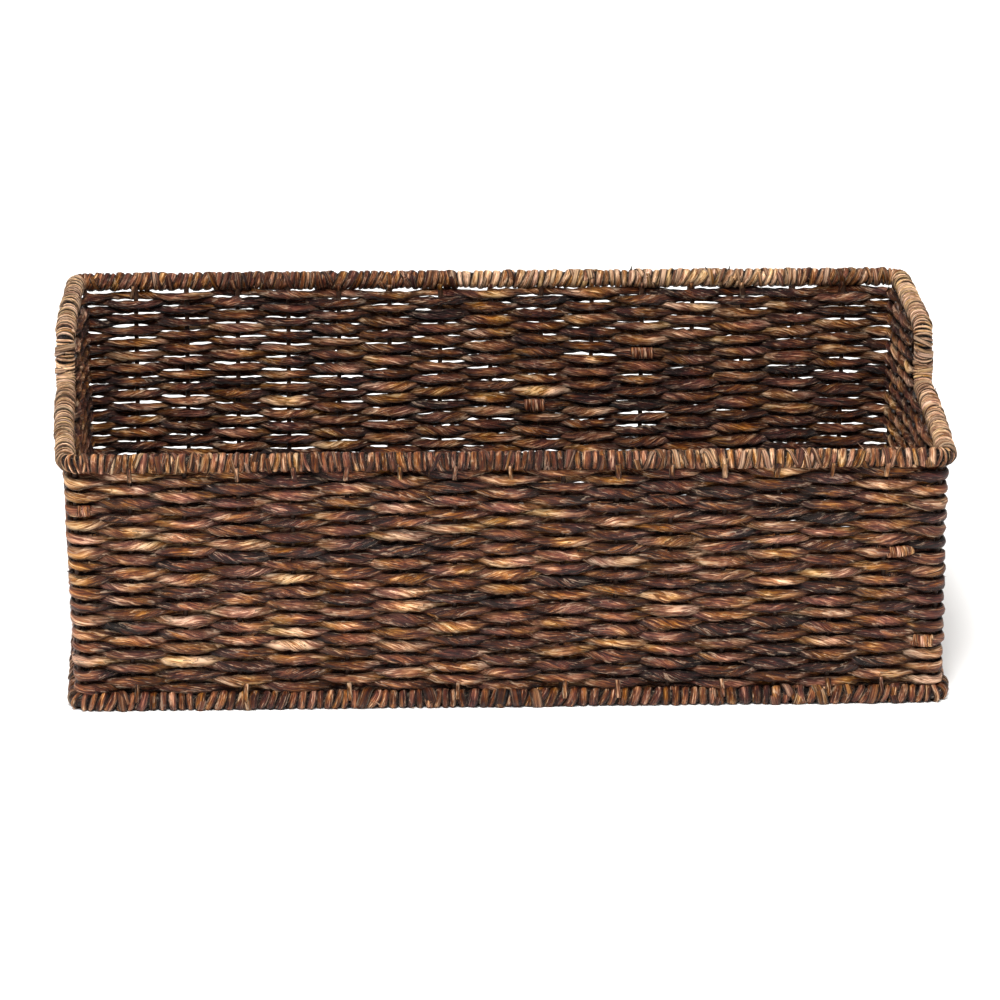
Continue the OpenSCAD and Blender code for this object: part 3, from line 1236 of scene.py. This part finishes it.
    def core(self, route: Route) -> Tube:
        """The padding under the strip, dark partly in its own colour and partly as painted shade for
        the gaps between the turns.
        """
        s = np.arange(0, route.length + 0.01, 6.0)
        s = np.unique(np.concatenate([s, self.bend_places(route), [route.length]]))
        centre, outward = route.at(s)
        count = len(s)
        # Partly painted shade: the core's darkest shade at half brightness also darkens the gaps
        # between the turns.
        return Tube(
            centre=centre,
            across=outward,
            half_across=np.full(count, self.radius - 0.6),
            half_up=np.full(count, self.radius - 0.6),
            dye=np.tile([0.08, 0.5, 0.0], (count, 1)),
            twist=s / 9.0,
            along=s,
            sides=12,
        )

    @staticmethod
    def bend_places(route: Route) -> np.ndarray:
        """Distances along the route that lie in its bends, 2 mm apart."""
        fine = np.arange(1.0, route.length - 1, 2.0)
        before = route.at(fine - 1)
        after = route.at(fine + 1)
        turn = np.linalg.norm(np.diff(after[0] - before[0], axis=0), axis=1)
        return fine[1:][turn > 0.05]

    def build(self, route: Route) -> list[bpy.types.Object]:
        """Builds and dresses the wound strip and its core."""
        tubes = [self.winding(route)] + self.crossing_strips(route)
        strip = TubeBuilder.build(self.name, tubes, self.shape)
        core = TubeBuilder.build(self.name + "_core", [self.core(route)], self.shape)
        if self.floor_z is not None:
            for piece in (strip, core):
                self.press(piece, self.floor_z)
        strip.data.materials.append(self.finish.material())
        core.data.materials.append(self.core_finish.material())
        for piece in (strip, core):
            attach(piece, BODY)
        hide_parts(*self.nodes)
        return [strip, core]

    @staticmethod
    def press(piece: bpy.types.Object, floor_z: float) -> None:
        """Presses what would reach below the standing surface up to it."""
        flat = np.zeros(len(piece.data.vertices) * 3, np.float32)
        piece.data.vertices.foreach_get("co", flat)
        points = flat.reshape(-1, 3)
        points[:, 2] = np.maximum(points[:, 2], floor_z * MM)
        piece.data.vertices.foreach_set("co", points.ravel())
        piece.data.update()


class TopBinding(RimBinding):
    """The fine strip on the top rim, whose shade changes from wall to wall and along the walls."""

    # Along the front and the back wall: up to which x each shade goes.
    front_shades: ClassVar[tuple[tuple[float, float], ...]] = (
        (-190, 0.6), (60, 0.41), (math.inf, 0.62),
    )
    back_shades: ClassVar[tuple[tuple[float, float], ...]] = (
        (-30, 0.5), (300, 0.88), (math.inf, 0.68),
    )
    side_shade: ClassVar[float] = 0.93

    def tone(self, point: np.ndarray) -> float:
        """Straw on the sides, tan to violet brown on the front, and brown to straw on the back."""
        x, y = point[:2]
        if abs(y) <= self.plan.rim_y - 6:
            return self.side_shade
        shades = self.front_shades if y < 0 else self.back_shades
        return next(shade for end, shade in shades if x < end)


@dataclass
class BaseBinding(RimBinding):
    """The coarse reddish brown strip on the base rim, pressed flat where the basket stands."""

    spacing: tuple[float, float] = (6.0, 13.0)
    crown: float = 2.7
    cover: float = 0.45
    slant: float = 1.7
    bend_width: float = 6.5
    radius: float = 6.1
    floor_z: Optional[float] = 0.0
    crossings: int = 70
    seed: int = 19


# ---------------------------------------------------------------- wire frame


@dataclass
class WireFrame:
    """The lacquered wires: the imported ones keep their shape, and the bowed ones are made again."""

    plan: BasketPlan
    shape: HandmadeShape
    finish: LacqueredWire

    @staticmethod
    def wire(points: np.ndarray, outward: np.ndarray, radius: float) -> Tube:
        """A plain round wire along a line."""
        along = np.arange(len(points), dtype=float)
        return Tube.plain(points, outward, (radius, radius), (0.0, 0.0), along)

    def side_stakes(self, x: float) -> list[Tube]:
        """The stakes of one side wall, from the base rim up into the top rim."""
        plan, tubes, rings = self.plan, [], 14
        for y in plan.side_ys():
            top = plan.front_rim_z if y < plan.step_y else plan.back_rim_z
            heights = np.linspace(plan.base_rim_z - 2, top + 2, rings)
            points = np.stack([np.full(rings, x), np.full(rings, y), heights], 1)
            tubes.append(self.wire(points, (math.copysign(1.0, x), 0, 0), plan.stake_r))
        return tubes

    def build(self, top_route: Route) -> list[bpy.types.Object]:
        """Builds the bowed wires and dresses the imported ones."""
        material = self.finish.material()
        bends = RimBinding.bend_places(top_route)
        s = np.unique(np.concatenate([np.arange(0, top_route.length, 12.0), bends]))
        made = {
            "top_rim_wire": [self.wire(*top_route.at(s), self.plan.wire_r)],
            "left_stakes": self.side_stakes(-self.plan.stake_x),
            "right_stakes": self.side_stakes(self.plan.stake_x),
        }
        pieces = []
        for node, tubes in made.items():
            piece = TubeBuilder.build(node + "_bowed", tubes, self.shape)
            piece.data.materials.append(material)
            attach(piece, BODY)
            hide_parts(node)
            pieces.append(piece)
        for node in (
            "base_rim_wire", "corner_posts", "front_stakes", "back_stakes",
            "base_cross_wires", "base_brace_wires",
        ):
            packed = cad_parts[node]
            packed.data.materials.clear()
            packed.data.materials.append(material)
        return pieces


# ---------------------------------------------------------------- base


@dataclass
class WovenBase:
    """The base mat: strands along the basket that pass over and under the cross wires.

    Sizes are in mm. The fullness is a strand's width as a share of the room that its row has, and
    the rise is how far its middle passes from a cross wire's surface.
    """

    plan: BasketPlan
    shape: HandmadeShape
    finish: PlantFibre
    row_pitch: float = 7.6
    fullness: float = 1.1
    half_height: float = 2.5
    rise: float = 2.2
    brace_r: float = 1.7
    brace_gap: float = 0.2
    edge_gap: float = 12.5
    end_gap: float = 9.5
    ring_step: float = 4.5
    seed: int = 93

    def rows(self) -> list[float]:
        """The y of each row, which keeps clear of the brace wires."""
        low, high = BasketPlan.span("base_brace_wires")
        edge = self.plan.rim_y - self.edge_gap
        clear = self.brace_r + self.brace_gap
        limits = [-edge]
        for y in np.linspace(low[1] + self.brace_r, high[1] - self.brace_r, 3):
            limits += [y - clear, y + clear]
        limits.append(edge)
        rows = []
        for start, end in zip(limits[::2], limits[1::2]):
            count = max(1, round((end - start) / self.row_pitch))
            pitch = (end - start) / count
            rows += [start + (i + 0.5) * pitch for i in range(count)]
        return rows

    def strand(self, y: float, number: int) -> Tube:
        """One row of the mat."""
        plan = self.plan
        rng = np.random.default_rng(self.seed * 100 + number)
        x = np.arange(-plan.rim_x + self.end_gap, plan.rim_x - self.end_gap, self.ring_step)
        gap = 2 * plan.cross_x / (plan.front_gaps - 1)
        side = 1 if number % 2 else -1
        swing = np.tanh(1.4 * np.cos(math.pi * (x + plan.cross_x) / gap)) / math.tanh(1.4)
        z = plan.base_rim_z + side * swing * (plan.stake_r + self.rise)
        centre = np.stack([x, y + wander(rng, x, 60, 0.5), z], 1)
        swell = 1 + wander(rng, x, 30, 0.1)
        tone = 0.42 + rng.uniform(-0.1, 0.1) + wander(rng, x, 120, 0.22)
        bright = 0.95 + wander(rng, x, 80, 0.2)
        return Tube(
            centre=centre,
            across=np.broadcast_to((0.0, 1.0, 0.0), (len(x), 3)),
            half_across=self.row_pitch / 2 * self.fullness * swell,
            half_up=self.half_height * swell,
            dye=np.stack([tone, bright, np.zeros(len(x))], 1),
            twist=2 * math.pi * x / rng.uniform(36, 60),
            along=x + 3000 * (number + 100),
            sides=8,
            lobes=lumps(rng, 0.05),
        )

    def build(self) -> bpy.types.Object:
        """Builds and dresses the mat."""
        tubes = [self.strand(y, i) for i, y in enumerate(self.rows())]
        piece = TubeBuilder.build("base_mat", tubes, self.shape, settle=False)
        piece.data.materials.append(self.finish.material())
        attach(piece, BODY)
        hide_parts("base_weave")
        return piece


# ---------------------------------------------------------------- small details


def hair(
    rng: np.random.Generator,
    root: np.ndarray,
    direction: np.ndarray,
    length: float,
    width: float,
    flatness: float,
    tone: float,
    bright: float,
    number: int,
) -> Tube:
    """A loose fibre or a strip's free end that tapers from its root.

    Args:
        rng: the seeded source of random numbers.
        root: where it starts.
        direction: where it points at first.
        length: its length.
        width: its half width at the root.
        flatness: its thickness as a share of its width.
        tone: its shade.
        bright: its brightness.
        number: the piece's own number, for its grain.

    Returns:
        The tube.
    """
    share = np.linspace(0, 1, 7)
    forward = direction / np.linalg.norm(direction)
    side = unit(np.cross(forward, rng.normal(size=3))[None, :])[0]
    curl = rng.uniform(-0.3, 0.3) * length
    centre = root + forward * (length * share)[:, None] + side * (curl * share**2)[:, None]
    across = unit(np.cross(forward, side)[None, :])[0]
    taper = np.maximum(1 - share**1.6, 0.12)
    half = width * taper, width * flatness * taper
    along = length * share + 700 * number
    return Tube.plain(centre, across, half, (tone, bright), along, sides=6)


@dataclass
class SmallDetails:
    """Ties over the stakes, bound splices, and loose fibres and strip ends all over the basket.

    The tie shares are the shares of the stakes that have one at the top and at the foot. Dark cut
    ends stand out of the back rim at each x and out of the front left edge at each z, in mm.
    """

    plan: BasketPlan
    shape: HandmadeShape
    finish: PlantFibre
    top_tie_share: float = 0.8
    foot_tie_share: float = 0.6
    splice_count: int = 7
    fibre_count: int = 420
    rim_fibre_count: int = 170
    rim_radius: float = 8.2
    rim_stub_xs: tuple[float, ...] = (136.0, 210.5, 231.0)
    edge_stub_zs: tuple[float, ...] = (131.0, 50.0)
    seed: int = 57

    def tie(
        self,
        rng: np.random.Generator,
        root: Sequence[float],
        out: Sequence[float],
        way: Way,
        number: int,
    ) -> Tube:
        """A strip that leaves the binding at a stake and tucks in behind the nearest strand.

        Args:
            rng: the seeded source of random numbers.
            root: where the stake meets the rim's centre line.
            out: the outward direction.
            way: which way the strip goes.
            number: the tie's own number, for its grain.

        Returns:
            The tie's tube.
        """
        x, y, z = root
        out = np.array(out, float)
        reach = self.plan.bind_r
        levels = z + way.value * np.array([2.0, 5.5, 8.5, 11.5, 14.5, 17.0])
        depth = np.array([reach + 0.2, reach - 0.6, 5.6, 3.6, 2.9, 2.0])
        sway = rng.uniform(-2.2, 2.2) * np.linspace(0, 1, 6) + rng.uniform(-1.2, 1.2)
        sideways = np.array([-out[1], out[0], 0.0])
        centre = np.array([x, y, 0.0]) + out * depth[:, None] + sideways * sway[:, None]
        centre[:, 2] = levels
        half = rng.uniform(1.7, 2.8), 0.9
        colour = rng.uniform(0.45, 0.75), rng.uniform(0.8, 1.2)
        return Tube.plain(
            centre, sideways, half, colour, levels + 400 * number, sides=8, crevice_across=True
        )

    def ties(self, rng: np.random.Generator) -> list[Tube]:
        """Ties at most of the stakes of all four walls, top and base."""
        plan, found = self.plan, []
        front, back = (0, -1, 0), (0, 1, 0)
        spots = [(x, -plan.rim_y, front, plan.front_rim_z) for x in plan.front_xs()]
        spots += [(x, plan.rim_y, back, plan.back_rim_z) for x in plan.front_xs()]
        spots += [(x, plan.rim_y - 0.5, front, plan.back_rim_z) for x in plan.front_xs()]
        for side in (-1, 1):
            for y in plan.side_ys():
                top = plan.front_rim_z if y < plan.step_y else plan.back_rim_z
                spots.append((side * plan.rim_x, y, (side, 0, 0), top))
        for x, y, out, top in spots:
            if rng.random() < self.top_tie_share:
                found.append(self.tie(rng, (x, y, top), out, Way.DOWN, len(found)))
            inside = y > 0 and out[1] < 0
            if rng.random() < self.foot_tie_share and not inside:
                found.append(self.tie(rng, (x, y, plan.base_rim_z), out, Way.UP, len(found)))
        return found

    @staticmethod
    def splice(rng: np.random.Generator, strand: Tube, place: int) -> Tube:
        """Fine turns that bind a strand where two lengths of it join."""
        turns, steps = int(rng.integers(6, 10)), 12
        angle = np.arange(turns * steps) * 2 * math.pi / steps
        last = min(place + int(turns * 1.1), len(strand.centre) - 2)
        at = np.linspace(place, last, len(angle))
        rings = np.arange(len(strand.centre))
        centre = rows_at(at, rings, strand.centre)
        forward = unit(np.gradient(centre, axis=0))
        across = square_to(rows_at(at, rings, strand.across), forward)
        up = np.cross(forward, across)
        wide = np.interp(at, rings, strand.half_across) + 0.35
        high = np.interp(at, rings, strand.half_up) + 0.35
        radial = across * (wide * np.cos(angle))[:, None] + up * (high * np.sin(angle))[:, None]
        return Tube.plain(
            centre + radial, forward, (2.1, 0.45), (rng.uniform(0.5, 0.68), 1.6),
            np.arange(len(angle)) * 2.0, sides=6, crevice_across=True,
        )

    def fibres(self, rng: np.random.Generator, strands: Sequence[Tube]) -> list[Tube]:
        """Loose fibres and torn strip ends on the faces of the strands."""
        found = []
        for number in range(self.fibre_count):
            strand = strands[int(rng.integers(len(strands)))]
            place = int(rng.integers(4, len(strand.centre) - 4))
            forward = strand.centre[place + 1] - strand.centre[place - 1]
            forward = forward / np.linalg.norm(forward) * rng.choice([-1, 1])
            face = strand.across[place] * rng.choice([-1, 1])
            root = strand.centre[place] + face * strand.half_across[place] * 0.85
            root = root + np.array([0, 0, rng.uniform(-0.5, 0.5) * strand.half_up[place]])
            lift = rng.uniform(0.05, 0.5)
            direction = forward + face * lift + np.array([0, 0, rng.uniform(-0.5, 0.5)])
            if number % 5 == 0:
                found.append(
                    hair(rng, root, direction - face * lift * 0.6, rng.uniform(6, 12),
                         rng.uniform(1.4, 2.4), 0.3, rng.uniform(0.4, 0.9), 1.1, number)
                )
            else:
                found.append(
                    hair(rng, root, direction, rng.uniform(5, 14), rng.uniform(0.22, 0.42), 0.8,
                         rng.uniform(0.3, 1.0), rng.uniform(0.8, 1.7), number)
                )
        return found

    def rim_fibres(self, rng: np.random.Generator, route: Route) -> list[Tube]:
        """Loose fibres that stand off a bound rim."""
        found = []
        for number in range(self.rim_fibre_count):
            s = rng.uniform(5, route.length - 5)
            centre, outward = (v[0] for v in route.at(np.array([s])))
            ahead = route.at(np.array([s + 1.0]))[0][0] - centre
            up = np.cross(outward, ahead)
            angle = rng.uniform(0, 2 * math.pi)
            radial = outward * math.cos(angle) + up * math.sin(angle)
            around = -outward * math.sin(angle) + up * math.cos(angle)
            root = centre + radial * self.rim_radius
            direction = around + ahead * rng.uniform(-0.8, 0.8) + radial * rng.uniform(0.0, 0.35)
            found.append(
                hair(rng, root, direction, rng.uniform(4, 10), rng.uniform(0.25, 0.6), 0.7,
                     rng.uniform(0.3, 1.0), 1.2, 1000 + number)
            )
        return found

    def stubs(self, rng: np.random.Generator) -> list[Tube]:
        """Dark cut ends that stand out of the back rim and the front left corner."""
        plan, found = self.plan, []
        top = plan.back_rim_z + plan.bind_r - 1.5
        for x in self.rim_stub_xs:
            root = np.array([x, plan.rim_y - 1, top])
            lean = np.array([rng.uniform(-0.5, 0.3), -0.1, 1.0])
            length = rng.uniform(6.5, 8)
            found.append(hair(rng, root, lean, length, 1.1, 0.8, 0.02, 0.6, len(found)))
        for z in self.edge_stub_zs:
            root = np.array([-plan.stake_x - 3, -plan.stake_y + 3, z])
            lean = np.array([-1.0, 0, 0.1])
            found.append(hair(rng, root, lean, 6.0, 1.6, 0.9, 0.0, 0.5, 9))
        return found

    def build(self, strands: Sequence[Tube], top: Route, base: Route) -> list[bpy.types.Object]:
        """Builds and dresses the ties, the splices and the loose fibres."""
        rng = np.random.default_rng(self.seed)
        material = self.finish.material()
        made = {
            "stake_ties": self.ties(rng),
            "bound_splices": [
                self.splice(rng, strands[number], int(rng.integers(60, 600)))
                for number in rng.choice(2 * FULL_COURSES, self.splice_count, replace=False)
            ],
            "loose_fibres": self.fibres(rng, strands) + self.stubs(rng),
            "rim_fibres": self.rim_fibres(rng, top) + self.rim_fibres(rng, base),
        }
        pieces = []
        for name, tubes in made.items():
            piece = TubeBuilder.build(name, tubes, self.shape)
            RimBinding.press(piece, 0.0)
            piece.data.materials.append(material)
            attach(piece, BODY)
            pieces.append(piece)
        return pieces


# ---------------------------------------------------------------- studio


@dataclass(frozen=True)
class Lamp:
    """A square soft light that aims at the basket, in metres and watts."""

    name: str
    place: tuple[float, float, float]
    size: float
    watts: float
    aim: tuple[float, float, float] = (0.0, 0.0, 0.15)

    def hang(self) -> None:
        """Adds the light to the scene."""
        data = bpy.data.lights.new(self.name, "AREA")
        data.size, data.energy = self.size, self.watts
        lamp = bpy.data.objects.new(self.name, data)
        lamp.location = self.place
        toward = Vector(self.aim) - Vector(self.place)
        lamp.rotation_euler = toward.to_track_quat("-Z", "Y").to_euler()
        bpy.context.scene.collection.objects.link(lamp)


@dataclass(frozen=True)
class Studio:
    """A pale floor, soft light and the camera, with sizes in metres and degrees.

    The focal share is the lens's focal length as a share of the sensor's width. The overhead light
    comes evenly from straight above, as wide as its spread.
    """

    paper: StudioPaper
    elevation: float = 19.47
    azimuth: float = -2.89
    roll: float = 0.46
    distance: float = 4.932
    target: tuple[float, float, float] = (0.0011, 0.0, 0.1312)
    focal_share: float = 5.25
    sensor: float = 36.0
    key: Lamp = Lamp("key", (-0.4, -1.8, 2.9), 1.2, 150.0)
    side: Lamp = Lamp("side", (-2.6, -1.2, 1.6), 1.4, 18.0)
    overhead_strength: float = 2.5
    overhead_spread: float = 60.0
    air_colour: str = "#ffffff"
    air_strength: float = 0.36
    floor_radius: float = 14.0

    def camera(self) -> bpy.types.Object:
        """Makes the scene's camera."""
        data = bpy.data.cameras.new("camera")
        data.sensor_width = self.sensor
        data.lens = self.sensor * self.focal_share
        data.clip_start, data.clip_end = 0.05, 60
        camera = bpy.data.objects.new("camera", data)
        e, a = math.radians(self.elevation), math.radians(self.azimuth)
        view = Vector((-math.sin(a) * math.cos(e), math.cos(a) * math.cos(e), -math.sin(e)))
        turn = view.to_track_quat("-Z", "Y").to_matrix()
        turn = turn @ Matrix.Rotation(math.radians(self.roll), 3, "Z")
        place = Matrix.Translation(Vector(self.target) - view * self.distance)
        camera.matrix_world = place @ turn.to_4x4()
        bpy.context.scene.collection.objects.link(camera)
        bpy.context.scene.camera = camera
        return camera

    def overhead(self) -> None:
        """Adds the even light from above."""
        data = bpy.data.lights.new("overhead", "SUN")
        data.energy, data.angle = self.overhead_strength, math.radians(self.overhead_spread)
        bpy.context.scene.collection.objects.link(bpy.data.objects.new("overhead", data))

    def floor(self) -> bpy.types.Object:
        """Makes the floor, a wide disc under the basket."""
        bm = bmesh.new()
        bmesh.ops.create_circle(bm, cap_ends=True, segments=96, radius=self.floor_radius)
        mesh = bpy.data.meshes.new("floor")
        bm.to_mesh(mesh)
        bm.free()
        floor = bpy.data.objects.new("floor", mesh)
        mesh.materials.append(self.paper.material())
        bpy.context.scene.collection.objects.link(floor)
        return floor

    def air(self) -> None:
        """Fills the studio with faint white light from all round."""
        world = bpy.data.worlds.new("studio_air")
        world.use_nodes = True
        sky = world.node_tree.nodes["Background"]
        sky.inputs[0].default_value = linear(self.air_colour)
        sky.inputs[1].default_value = self.air_strength
        bpy.context.scene.world = world

    def build(self) -> None:
        """Sets the whole studio, with plain colours that keep white white."""
        self.camera()
        self.floor()
        self.key.hang()
        self.overhead()
        self.side.hang()
        self.air()
        bpy.context.scene.view_settings.view_transform = "Standard"


# ---------------------------------------------------------------- the whole basket


def main() -> None:
    """Builds the studio and every part of the basket in order."""
    logging.basicConfig(level=logging.INFO, format="%(name)s: %(message)s", stream=sys.stdout)
    plan = BasketPlan.read()
    shape = HandmadeShape(plan)
    Studio(StudioPaper()).build()

    top_route = top_rim_route(plan)
    base_route = ring_route(plan.rim_x, plan.rim_y, plan.corner_bend, plan.base_rim_z)
    strand = PlantFibre("twisted_abaca_strand", STRAND_SHADES)
    top_strip = PlantFibre(
        "abaca_binding_strip", STRAND_SHADES, fibre_width=0.7, fibre_length=14.0,
        leaf_edges=1, edge_dark=0.65, wrap_pitch=34.0, crevice_painted_shade=0.97,
    )
    pieces = WireFrame(plan, shape, LacqueredWire()).build(top_route)
    walls = WovenWalls(plan, shape, strand)
    pieces += walls.build()
    mat_strand = PlantFibre("abaca_base_strand", STRAND_SHADES)
    pieces.append(WovenBase(plan, shape, mat_strand).build())
    top_core = PlantFibre("abaca_rim_core", STRAND_SHADES)
    nodes = tuple(f"top_binding_{wall.value}" for wall in Wall)
    top = TopBinding(plan, shape, top_strip, top_core, "top_rim_strip", nodes)
    pieces += top.build(top_route)
    base_strip = PlantFibre(
        "abaca_base_strip", STRAND_SHADES, fibre_length=14.0, crevice_painted_shade=0.97
    )
    base_core = PlantFibre("abaca_base_core", STRAND_SHADES)
    nodes = tuple(f"base_binding_{wall.value}" for wall in Wall)
    base = BaseBinding(plan, shape, base_strip, base_core, "base_rim_strip", nodes)
    pieces += base.build(base_route)
    loose = PlantFibre("abaca_loose_fibre", STRAND_SHADES, leaf_edges=1)
    pieces += SmallDetails(plan, shape, loose).build(walls.tubes, top_route, base_route)
    for piece in pieces:
        log.info("%s: %d faces", piece.name, len(piece.data.polygons))


if __name__ == "__main__":
    main()
